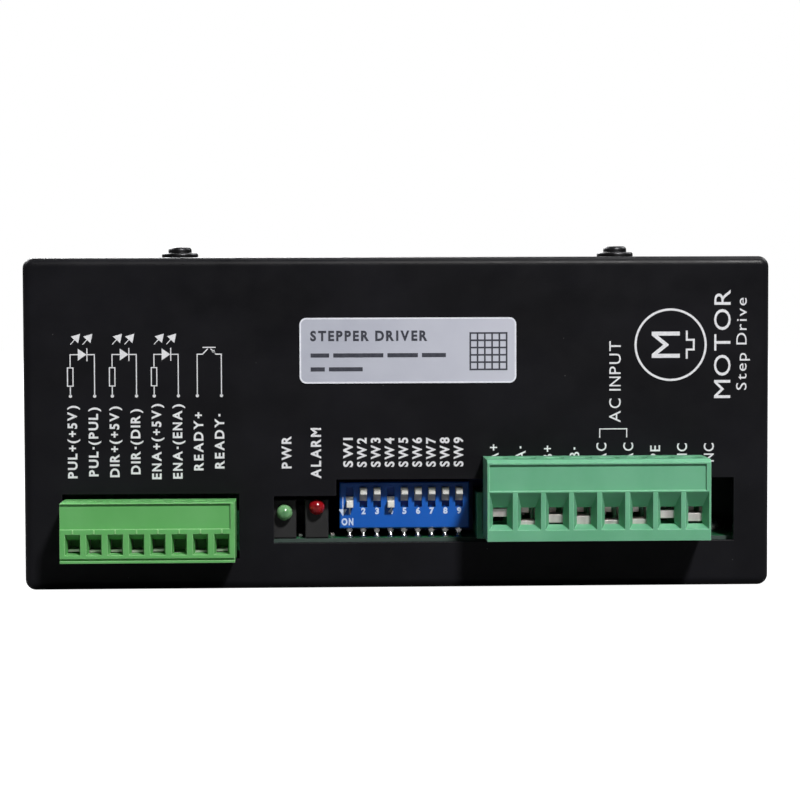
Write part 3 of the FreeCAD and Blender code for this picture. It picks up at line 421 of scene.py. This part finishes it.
def sleeve(name):
    """Dark, slightly uneven shrink sleeve, and bare aluminium on top."""
    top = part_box("bulk_capacitors")[1].z
    look = Look(name, tone(26, 28, 52), 0.32)
    colour = look.mix(look.spread(look.noise(4 * MM, 3), 0.3, 0.7), tone(22, 24, 46), tone(30, 33, 60))
    bare = look.spread(look.axis("Z"), top - 0.35 * MM, top - 0.3 * MM)
    look.set("Base Color", look.mix(bare, colour, tone(176, 178, 182)))
    look.set("Metallic", bare)
    look.rough(2 * MM, 0.26, 0.4)
    look.relief(look.noise(1.5 * MM, 3), 0.02 * MM, 0.5)
    return look.material


def wound(name, colours, pitch):
    """Enamelled wire, wound so closely that its turns show as fine ribs."""
    look = Look(name, colours[0], 0.3)
    place = look.scaled(pitch, (1, 1, 1))
    inputs = {"Vector": place, "Scale": 1.0, "Distortion": 1.5}
    turns = look.node("ShaderNodeTexWave", inputs, bands_direction="Z").outputs[1]
    look.set("Base Color", look.mix(turns, *colours))
    look.rough(2 * MM, 0.24, 0.42)
    look.relief(turns, 0.15 * MM, 0.8)
    return look.material


def wrapped(name, colours):
    """Polyester tape in overlapping turns."""
    look = Look(name, colours[0], 0.28)
    place = look.scaled(9 * MM, (1, 1, 1))
    inputs = {"Vector": place, "Scale": 1.0}
    lap = look.node("ShaderNodeTexWave", inputs, bands_direction="Z", wave_profile="SAW").outputs[1]
    look.set("Base Color", look.mix(look.spread(lap, 0, 0.08), *colours))
    look.rough(3 * MM, 0.22, 0.4)
    look.relief(lap, 0.08 * MM, 0.6)
    return look.material


def sintered(name):
    """Ground ferrite: dark grey with fine pits."""
    look = Look(name, tone(58, 58, 62), 0.6)
    look.vary(1.2 * MM, (tone(50, 50, 54), tone(70, 70, 74)), 5)
    look.rough(1 * MM, 0.5, 0.7)
    look.relief(look.spread(look.noise(0.3 * MM, 4), 0.5, 0.75), 0.03 * MM, 0.7)
    return look.material


def capped_tube(name):
    """A fuse: plated caps at its ends and in its holders, and pale glass between them."""
    low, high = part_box("line_fuse")
    middle, cap_start = (low.x + high.x) / 2, (high.x - low.x) / 2 - 6 * MM
    look = Look(name, tone(205, 210, 214), 0.12)
    off_centre = look.maths("ABSOLUTE", look.maths("SUBTRACT", look.axis("X"), middle))
    cap = look.spread(off_centre, cap_start, cap_start + 0.05 * MM)
    frost = look.mix(look.noise(1.5 * MM, 3), tone(196, 204, 208), tone(226, 230, 232))
    look.set("Base Color", look.mix(cap, frost, tone(196, 194, 188)))
    look.set("Metallic", cap)
    look.rough(1 * MM, 0.1, 0.28)
    return look.material


EVEN_GLOW = 1.0, 1.0, 1.0
SIGNAL_GREEN = tone(93, 170, 93), tone(101, 176, 101)
POWER_GREEN = tone(98, 170, 131), tone(108, 178, 140)
HEADER_GREEN = tone(58, 140, 104), tone(66, 150, 114)
CLAMP_STEEL = tone(232, 222, 220), tone(246, 240, 238)
SWITCH_BLUE = tone(10, 88, 182), tone(16, 94, 190)
KNOB_WHITE = tone(236, 236, 230), tone(226, 226, 218)
HOLDER_BLACK = tone(30, 30, 31), tone(36, 36, 37)
FAN_BLACK = tone(26, 26, 28), tone(34, 34, 36)
PACKAGE_BLACK = tone(28, 28, 29), tone(38, 38, 39)
PAD_GREY = tone(176, 178, 182), tone(190, 192, 196)
WHITE_INK = print_ink("white_ink", (tone(232, 233, 236), tone(214, 215, 220)))
SWITCH_INK = print_ink("switch_ink", (tone(210, 224, 246), tone(190, 208, 238)))
GREY_INK = print_ink("grey_ink", (tone(54, 56, 66), tone(66, 68, 78)))

LOOKS = {
    "panel_paint": powder_coat("panel_coat", tone(17, 17, 20), tone(22, 22, 26), 0.16 * MM, 0.38),
    "case_paint": powder_coat("case_coat", tone(19, 19, 21), tone(23, 23, 26), 0.32 * MM, 0.55),
    "black_anodised": anodised("anodised_extrusion"),
    # The label's painted reflection is still brightening at its right end, and would end 15 mm past it.
    "label_silver": silver_film_painted_sheen("label_film_painted_sheen", LABEL_LOW.x, LABEL_HIGH.x + 15 * MM),
    "black_steel": plated("black_zinc", (tone(52, 52, 54), tone(70, 70, 72)), 0.36),
    "zinc_steel": plated("bright_zinc", (tone(188, 190, 196), tone(206, 204, 196)), 0.28),
    "tinned_pin": plated("tinned_pin_metal", (tone(214, 213, 210), tone(232, 231, 229)), 0.24),
    # The colour after each moulded plastic's two tones is its painted edge highlight.
    "header_green": moulded("header_plastic", HEADER_GREEN, tone(150, 204, 176), 0.42),
    "signal_green": moulded("signal_plastic", SIGNAL_GREEN, tone(178, 230, 170), 0.56, 0.22 * MM, 0.3),
    "power_green": moulded("power_plastic", POWER_GREEN, tone(172, 230, 196), 0.56, 0.22 * MM, 0.3),
    "tinned_steel": plated("clamp_metal", CLAMP_STEEL, 0.45, stretch=(1, 1, 6)),
    "switch_blue": moulded("switch_plastic", SWITCH_BLUE, tone(60, 130, 212), 0.38),
    "knob_white": moulded("knob_plastic", KNOB_WHITE, tone(250, 250, 246), 0.35, inside=0.6, glow=EVEN_GLOW),
    "holder_black": moulded("holder_plastic", HOLDER_BLACK, tone(50, 50, 52), 0.5, inside=0),
    "led_green": lens("green_epoxy", "power_led", tone(122, 174, 122), tone(84, 136, 90)),
    "led_red": lens("red_epoxy", "alarm_led", tone(156, 18, 27), tone(116, 5, 11)),
    "fan_black": moulded("fan_plastic", FAN_BLACK, tone(70, 70, 74), 0.45, inside=0),
    "plated_wire": plated("guard_wire", (tone(196, 198, 204), tone(220, 221, 226)), 0.22),
    "package_black": moulded("package_epoxy", PACKAGE_BLACK, tone(72, 72, 74), 0.6, inside=0),
    "pad_grey": moulded("silicone_pad", PAD_GREY, tone(206, 206, 208), 0.7),
    "sleeve_black": sleeve("capacitor_sleeve"),
    "ferrite": sintered("ground_ferrite"),
    "tape_yellow": wrapped("yellow_tape", (tone(176, 150, 40), tone(222, 196, 64))),
    "choke_green": wound("enamelled_wire", (tone(20, 52, 34), tone(62, 128, 88)), 0.8 * MM),
    "relay_blue": moulded("relay_plastic", (tone(54, 82, 152), tone(62, 90, 160)), tone(120, 146, 200), 0.4),
    "fuse_glass": capped_tube("fuse_tube"),
}


def dress_frame():
    """Gives each CAD node the finish of its slot. The two boards are thin along different axes."""
    boards = {
        "main_board": solder_mask("main_board_mask", "Z"),
        "control_board": solder_mask("control_mask", "Y"),
    }
    for name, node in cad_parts.items():
        for entry in node.material_slots:
            slot = entry.material.name.split(".")[0]
            entry.material = boards.get(name) or LOOKS[slot]


# ---------------------------------------------------------------- print on the connector panel

PANEL = facing_front(PANEL_LOW.x, PANEL_LOW.y, PANEL_LOW.z)  # u and v run from the panel's lower left corner
THIN_LINE = 0.19
SIGNAL_NAMES = (
    "PUL+(+5V)", "PUL-(PUL)", "DIR+(+5V)", "DIR-(DIR)",
    "ENA+(+5V)", "ENA-(ENA)", "READY+", "READY-",
)
SIGNAL_NAME_U, SIGNAL_NAME_PITCH, SIGNAL_NAME_V = 8.95, 3.84, 27.3
POWER_NAMES = ("A+", "A-", "B+", "B-", "AC", "AC", "PE", "NC", "NC")
POWER_NAME_U, POWER_NAME_PITCH, POWER_NAME_V = 86.23, 4.99, 24.75
SWITCH_NAME_U, SWITCH_NAME_PITCH, LAMP_NAME_V = 59.4, 2.544, 25.1
INPUT_U, INPUT_TOP = 8.65, 43.3  # first input symbol: its left wire, and the height of its top wire
INPUT_PITCH, INPUT_WIDTH, INPUT_HEIGHT = 7.64, 4.42, 7.5
TERMINAL_RADIUS, TERMINAL_DROP = 0.3, 0.1  # the dot at a wire's end, and how far below the end it stands


def arrow(ink, tail, tip, head):
    """A thin shaft with a filled head."""
    tail, tip = Vector(tail), Vector(tip)
    way = (tip - tail).normalized()
    side = Vector((-way.y, way.x))
    neck = tip - way * head
    ink.line([tail, neck], THIN_LINE * 0.8)
    ink.polygon([neck + side * head * 0.6, neck - side * head * 0.6, tip])


def input_symbol(ink, u):
    """An optocoupler's input: a resistor and a light-emitting diode between two terminals."""
    top, foot = INPUT_TOP, INPUT_TOP - INPUT_HEIGHT
    right = u + INPUT_WIDTH
    box_top, box_foot, box_half = top - 2.42, top - 5.76, 0.5
    diode, diode_end, diode_half = u + 1.42, u + 2.98, 1.08
    ink.line([(u, box_top), (u, top), (diode, top)], THIN_LINE)
    ink.line([(u, foot), (u, box_foot)], THIN_LINE)
    box_left, box_right = u - box_half, u + box_half
    corners = [(box_left, box_foot), (box_right, box_foot), (box_right, box_top), (box_left, box_top)]
    ink.line(corners, THIN_LINE, closed=True)
    ink.polygon([(diode, top - diode_half), (diode_end, top), (diode, top + diode_half)])
    ink.bar(diode_end, top - 1.2, THIN_LINE, 2.4)
    ink.line([(diode_end + THIN_LINE, top), (right, top), (right, foot)], THIN_LINE)
    for shift in (0.0, 2.25):
        arrow(ink, (u + 0.05 + shift, top + 1.85), (u + 1.85 + shift, top + 3.8), 1.5)
    for end in (u, right):
        ink.disc(end, foot - TERMINAL_DROP, TERMINAL_RADIUS)


def output_symbol(ink, u):
    """A phototransistor between two terminals."""
    top, foot = INPUT_TOP, INPUT_TOP - INPUT_HEIGHT
    right, middle = u + INPUT_WIDTH, u + INPUT_WIDTH / 2
    bar = top + 1.15
    ink.line([(u, foot), (u, top), (u + 1.0, top), (middle - 0.25, bar - 0.14)], THIN_LINE)
    ink.line([(right, foot), (right, top), (right - 1.0, top), (middle + 0.25, bar - 0.14)], THIN_LINE)
    ink.bar(middle - 1.2, bar, 2.4, THIN_LINE)
    ink.polygon([(right - 1.05, top + 0.05), (right - 1.75, top + 0.42), (right - 1.3, top + 0.85)])
    for end in (u, right):
        ink.disc(end, foot - TERMINAL_DROP, TERMINAL_RADIUS)


def print_signal_side():
    names = Ink()
    for i, text in enumerate(SIGNAL_NAMES):
        centre = SIGNAL_NAME_U + i * SIGNAL_NAME_PITCH, SIGNAL_NAME_V
        names.words(text, centre, 1.75, upwards=True)
    names.piece("signal_names", PANEL, WHITE_INK, "case", "panel_paint")
    symbols = Ink()
    for i in range(3):
        input_symbol(symbols, INPUT_U + i * INPUT_PITCH)
    output_symbol(symbols, INPUT_U + 3 * INPUT_PITCH + 0.25)
    symbols.piece("signal_symbols", PANEL, WHITE_INK, "case", "panel_paint")


def print_lamps_and_switches():
    ink = Ink()
    ink.words("PWR", (48.1, LAMP_NAME_V + 0.1), 1.8, length=5.95, upwards=True)
    ink.words("ALARM", (53.5, LAMP_NAME_V - 0.1), 1.9, length=9.3, upwards=True)
    for i in range(SWITCH_COUNT):
        centre = SWITCH_NAME_U + i * SWITCH_NAME_PITCH, LAMP_NAME_V
        ink.words(f"SW{i + 1}", centre, 1.78, length=5.4, weight=0.03, upwards=True)
    ink.piece("lamp_and_switch_names", PANEL, WHITE_INK, "case", "panel_paint")


def print_power_side():
    ink = Ink()
    for i, text in enumerate(POWER_NAMES):
        ink.words(text, (POWER_NAME_U + i * POWER_NAME_PITCH, POWER_NAME_V), 1.85, weight=0.01, upwards=True)
    left, right = (POWER_NAME_U + i * POWER_NAME_PITCH - 0.3 for i in (4, 5))
    ink.line([(left, 27.6), (left, 29.2), (right, 29.2), (right, 27.6)], THIN_LINE)
    ink.words("AC INPUT", (108.7, 37.9), 2.1, length=15.0, weight=0.0, upwards=True)
    ink.piece("power_names", PANEL, WHITE_INK, "case", "panel_paint")


def print_motor_mark():
    """A ring with the usual letter for a motor and one step of a pulse under it, and two plain words."""
    ink = Ink()
    u, v, radius = 119.0, 44.7, 6.7
    ink.ring(u, v, radius, 0.4)
    ink.words("M", (u - 0.9, v), 5.2, weight=0.0, upwards=True)
    step = [(3.0, -2.6), (3.0, -0.9), (4.3, -0.9), (4.3, 0.9), (3.0, 0.9), (3.0, 2.6)]
    ink.line([(u + du, v + dv) for du, dv in step], 0.36)
    ink.words("MOTOR", (128.6, v + 0.1), 3.0, length=20.0, weight=0.0, upwards=True)
    ink.words("Step Drive", (132.15, v + 0.1), 1.9, length=17.0, weight=0.0, upwards=True)
    ink.piece("motor_mark", PANEL, WHITE_INK, "case", "panel_paint")


def print_label():
    """Plain words and bars on the rating label, with an empty grid and a bright border."""
    face = facing_front(LABEL_LOW.x, LABEL_LOW.y, LABEL_LOW.z)
    width, height = ((LABEL_HIGH - LABEL_LOW) / MM).xz
    ink = Ink()
    ink.words("STEPPER DRIVER", (12.7, 8.7), 1.9, length=21.5, weight=0.04)
    for v, bar_height, bars in ((4.75, 0.75, (3.4, 9.2, 5.6, 4.4)), (2.2, 0.75, (2.6, 6.2))):
        u = 2.0
        for length in bars:
            ink.bar(u, v, length, bar_height)
            u += length + 0.75
    cells, size, line, (corner_u, corner_v) = 5, 7.0, 0.3, (31.2, 2.3)
    step = (size - line) / cells
    for i in range(cells + 1):
        ink.bar(corner_u + i * step, corner_v, line, size)
    for j in range(cells + 1):
        for i in range(cells):
            ink.bar(corner_u + i * step + line, corner_v + j * step, step - line, line)
    ink.piece("label_print", face, GREY_INK, "case", "label_silver")
    border = Ink()
    inset, bend = 0.12, 1.1
    outline = []
    for turn, (u, v) in enumerate(((width, height), (0, height), (0, 0), (width, 0))):
        centre_u = u - math.copysign(inset + bend, u - width / 2)
        centre_v = v - math.copysign(inset + bend, v - height / 2)
        for step in range(6):
            angle = math.pi / 2 * (turn + step / 5)
            outline.append((centre_u + bend * math.cos(angle), centre_v + bend * math.sin(angle)))
    border.line(outline, line, closed=True)
    silver = print_ink("label_border", (tone(222, 225, 236), tone(236, 238, 246)), 0.4)
    border.piece("label_edge", face, silver, "case", "label_silver", 0.02)


def switch_u(index):
    """A switch's place along the bank, in millimetres from the bank's left side."""
    low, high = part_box(f"dip_slider_{index + 1}")
    return ((low.x + high.x) / 2 - SWITCH_LOW.x) / MM


def print_switch_bank():
    face = facing_front(SWITCH_LOW.x, SWITCH_LOW.y, SWITCH_LOW.z)
    ink = Ink()
    for i in range(SWITCH_COUNT):
        ink.words(str(i + 1), (switch_u(i), 3.24), 1.2, weight=0.05)
    ink.words("ON", (1.45, 1.25), 1.35, length=2.2, weight=0.05)
    arrow(ink, (0.62, 5.9), (0.62, 2.3), 1.3)
    ink.piece("switch_print", face, SWITCH_INK, "case", "switch_blue")


# ---------------------------------------------------------------- small details


def boxes(places, size):
    """One small bevelled block at each place, all in metres."""
    mesh = bmesh.new()
    for place in places:
        made = bmesh.ops.create_cube(mesh, size=1, matrix=Matrix.LocRotScale(place, None, size))
        edges = list({e for v in made["verts"] for e in v.link_edges})
        bmesh.ops.bevel(mesh, geom=edges, offset=min(size) * 0.18, segments=2, affect="EDGES")
    return mesh


def lathe(mesh, centre, profile, sides=18):
    """Adds a turned shape about a vertical axis; the profile's first and last points are on the axis."""
    rings = []
    for radius, z in profile:
        points = [centre + Vector((radius * math.cos(a), radius * math.sin(a), z))
                  for a in (2 * math.pi * i / sides for i in range(sides))]
        rings.append([mesh.verts.new(p) for p in (points if radius else [centre + Vector((0, 0, z))])])
    for low, high in zip(rings, rings[1:]):
        for i in range(sides):
            j = (i + 1) % sides
            corners = [low[i % len(low)], low[j % len(low)], high[j % len(high)], high[i % len(high)]]
            mesh.faces.new(list(dict.fromkeys(corners)))


def plug_marks():
    """A short raised mark over each pole of the small plug."""
    low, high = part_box("signal_plug_body")
    poles = [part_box(f"signal_clamp_{i + 1}") for i in range(8)]
    size = Vector((0.28, 0.16, 0.75)) * MM
    z = low.z + 5.68 * MM
    places = [Vector(((a.x + b.x) / 2, low.y - 0.04 * MM, z)) for a, b in poles]
    mark = moulded("mark_plastic", (tone(128, 200, 122), tone(140, 208, 132)), tone(176, 226, 166), 0.45)
    new_piece("signal_plug_marks", boxes(places, size), mark, "signal_plug")


def switch_solder():
    """A fillet of solder around each switch pin, where it enters the board."""
    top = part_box("main_board")[1].z
    mesh = bmesh.new()
    profile = [(0, 0.95), (0.16, 0.9), (0.3, 0.6), (0.46, 0.3), (0.72, 0.08), (0.86, 0.02), (0, 0.02)]
    profile = [(radius * MM, z * MM) for radius, z in profile]
    for i in range(SWITCH_COUNT):
        x = SWITCH_LOW.x + switch_u(i) * MM
        lathe(mesh, Vector((x, SWITCH_LOW.y + 1.2 * MM, top)), profile)
    new_piece("switch_solder", mesh, LOOKS["tinned_pin"], "case")


def board_chips():
    """Two chip parts on the board, one between the lamps and one beside them, with tinned ends."""
    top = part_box("main_board")[1].z
    lamp_left, lamp_right = (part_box(name) for name in ("power_led", "alarm_led"))
    gap = (lamp_left[1].x + lamp_right[0].x) / 2
    y = PANEL_LOW.y + 6.2 * MM
    middle = [Vector((x, y, top + 0.3 * MM)) for x in (gap, lamp_right[1].x + 1.5 * MM)]
    ceramic = moulded("chip_ceramic", (tone(126, 104, 84), tone(148, 124, 100)), tone(170, 150, 128), 0.5)
    new_piece("chip_bodies", boxes(middle, Vector((0.7, 1.1, 0.5)) * MM), ceramic, "case")
    ends = [p + Vector((0, side * 0.7 * MM, 0)) for p in middle for side in (-1, 1)]
    caps = boxes(ends, Vector((0.74, 0.34, 0.54)) * MM)
    new_piece("chip_ends", caps, LOOKS["tinned_pin"], "case")


STICKER_THICKNESS = 0.08  # millimetres


def fan_sticker():
    """A plain round sticker on the fan's hub, with an arrow for the way it turns."""
    low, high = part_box("fan_rotor")
    middle = (low + high) / 2
    face = plane((high.x, middle.y, middle.z), (0, 1, 0), (0, 0, 1), (1, 0, 0))
    paper = Ink()
    paper.disc(0, 0, 7.6, 48)
    # The sticker lies beyond the rotor's end, so the painted reflection's bright end covers all of it.
    film = silver_film_painted_sheen("sticker_film", low.x, high.x)
    paper.piece("fan_sticker", face, film, "fan_rotor", "label_silver", STICKER_THICKNESS)
    ink = Ink()
    ink.ring(0, 0, 7.1, 0.25)
    arc = [math.radians(a) for a in range(20, 161, 10)]
    ink.line([(4.8 * math.cos(a), 4.8 * math.sin(a)) for a in arc], 0.5)
    ink.polygon([(-5.7, 1.7), (-3.3, 1.7), (-4.75, -0.4)])
    ink.bar(-2.6, -3.2, 5.2, 0.6)
    ink.bar(-1.8, -4.5, 3.6, 0.6)
    raised = face @ Matrix.Translation((0, 0, STICKER_THICKNESS))
    ink.piece("fan_sticker_print", raised, GREY_INK, "fan_rotor", "label_silver", 0.02)


# ---------------------------------------------------------------- floor, light and camera

EYE = Vector((-17.4, -547.0, 25.9)) * MM
EYE_YAW, EYE_PITCH, EYE_ROLL = -0.0393, -0.0481, -0.0029  # radians
EYE_LENS = 110.3  # millimetres
SURROUND_CAST = 0.045  # how brightly the white surround lights the object


def camera():
    """A level camera turned by the yaw, tipped by the pitch and then turned about its view by the roll."""
    level = Vector((math.cos(EYE_YAW), math.sin(EYE_YAW), 0))
    ahead = Vector((-math.sin(EYE_YAW), math.cos(EYE_YAW), 0))
    forward = ahead * math.cos(EYE_PITCH) + Vector((0, 0, math.sin(EYE_PITCH)))
    upright = level.cross(forward)
    right = level * math.cos(EYE_ROLL) + upright * math.sin(EYE_ROLL)
    up = right.cross(forward)
    data = bpy.data.cameras.new("camera")
    data.lens = EYE_LENS
    data.clip_start = 0.01
    eye = bpy.data.objects.new("camera", data)
    eye.matrix_world = Matrix.Translation(EYE) @ Matrix((right, up, -forward)).transposed().to_4x4()
    bpy.context.scene.collection.objects.link(eye)
    bpy.context.scene.camera = eye


def area_light(name, place, target, size, watts, colour=(1, 1, 1)):
    data = bpy.data.lights.new(name, "AREA")
    data.shape = "RECTANGLE"
    data.size, data.size_y = size
    data.energy = watts
    data.color = colour
    lamp = bpy.data.objects.new(name, data)
    lamp.location = place
    lamp.rotation_euler = (Vector(target) - Vector(place)).to_track_quat("-Z", "Y").to_euler()
    bpy.context.scene.collection.objects.link(lamp)


def seen_or_not(tree, seen, cast):
    """One strength for what the picture shows directly, and another for the light cast on the object."""
    path = tree.nodes.new("ShaderNodeLightPath")
    strength = tree.nodes.new("ShaderNodeMapRange")
    strength.inputs["To Min"].default_value = cast
    strength.inputs["To Max"].default_value = seen
    tree.links.new(path.outputs["Is Camera Ray"], strength.inputs["Value"])
    return strength.outputs[0]


def studio():
    """A white floor under a white surround, which lights the object less than it looks, and soft lamps."""
    mesh = bmesh.new()
    bmesh.ops.create_grid(mesh, x_segments=1, y_segments=1, size=1.5)
    data = bpy.data.meshes.new("floor")
    mesh.to_mesh(data)
    mesh.free()
    paper = Look("floor_paper", tone(104, 104, 106), 0.8, specular=0.1)
    paper.vary(0.3, (tone(102, 102, 104), tone(106, 106, 108)))
    paper.set("Emission Color", (1, 1, 1, 1))
    paper.set("Emission Strength", seen_or_not(paper.tree, 1.0, 0.0))
    data.materials.append(paper.material)
    floor = bpy.data.objects.new("floor", data)
    floor.location.z = PANEL_LOW.z - 0.02 * MM
    bpy.context.scene.collection.objects.link(floor)

    world = bpy.data.worlds.new("surround")
    bpy.context.scene.world = world
    world.use_nodes = True
    tree = world.node_tree
    background = next(n for n in tree.nodes if n.type == "BACKGROUND")
    background.inputs["Color"].default_value = (1, 1, 1, 1)
    tree.links.new(seen_or_not(tree, 1.0, SURROUND_CAST), background.inputs["Strength"])

    middle = (0, -0.09, 0)
    area_light("key", (0.4, -1.05, 1.0), middle, (0.15, 0.15), 24.0, (1.0, 0.985, 0.97))
    area_light("fill", (-0.8, -0.75, 0.25), middle, (0.7, 0.7), 0.1, (0.96, 0.98, 1.0))
    area_light("top", (0.2, 0.1, 0.9), middle, (0.6, 0.3), 2.0)
    area_light("back", (-0.35, 1.1, 0.6), middle, (0.9, 0.5), 20.0)
    area_light("left", (-0.9, 0.5, 0.9), middle, (0.6, 0.6), 12.0)
    area_light("right", (0.9, 0.5, 0.9), middle, (0.6, 0.6), 9.0)
    bpy.context.scene.view_settings.view_transform = "Standard"


def main():
    dress_frame()
    print_signal_side()
    print_lamps_and_switches()
    print_power_side()
    print_motor_mark()
    print_label()
    print_switch_bank()
    plug_marks()
    switch_solder()
    board_chips()
    fan_sticker()
    camera()
    studio()


main()
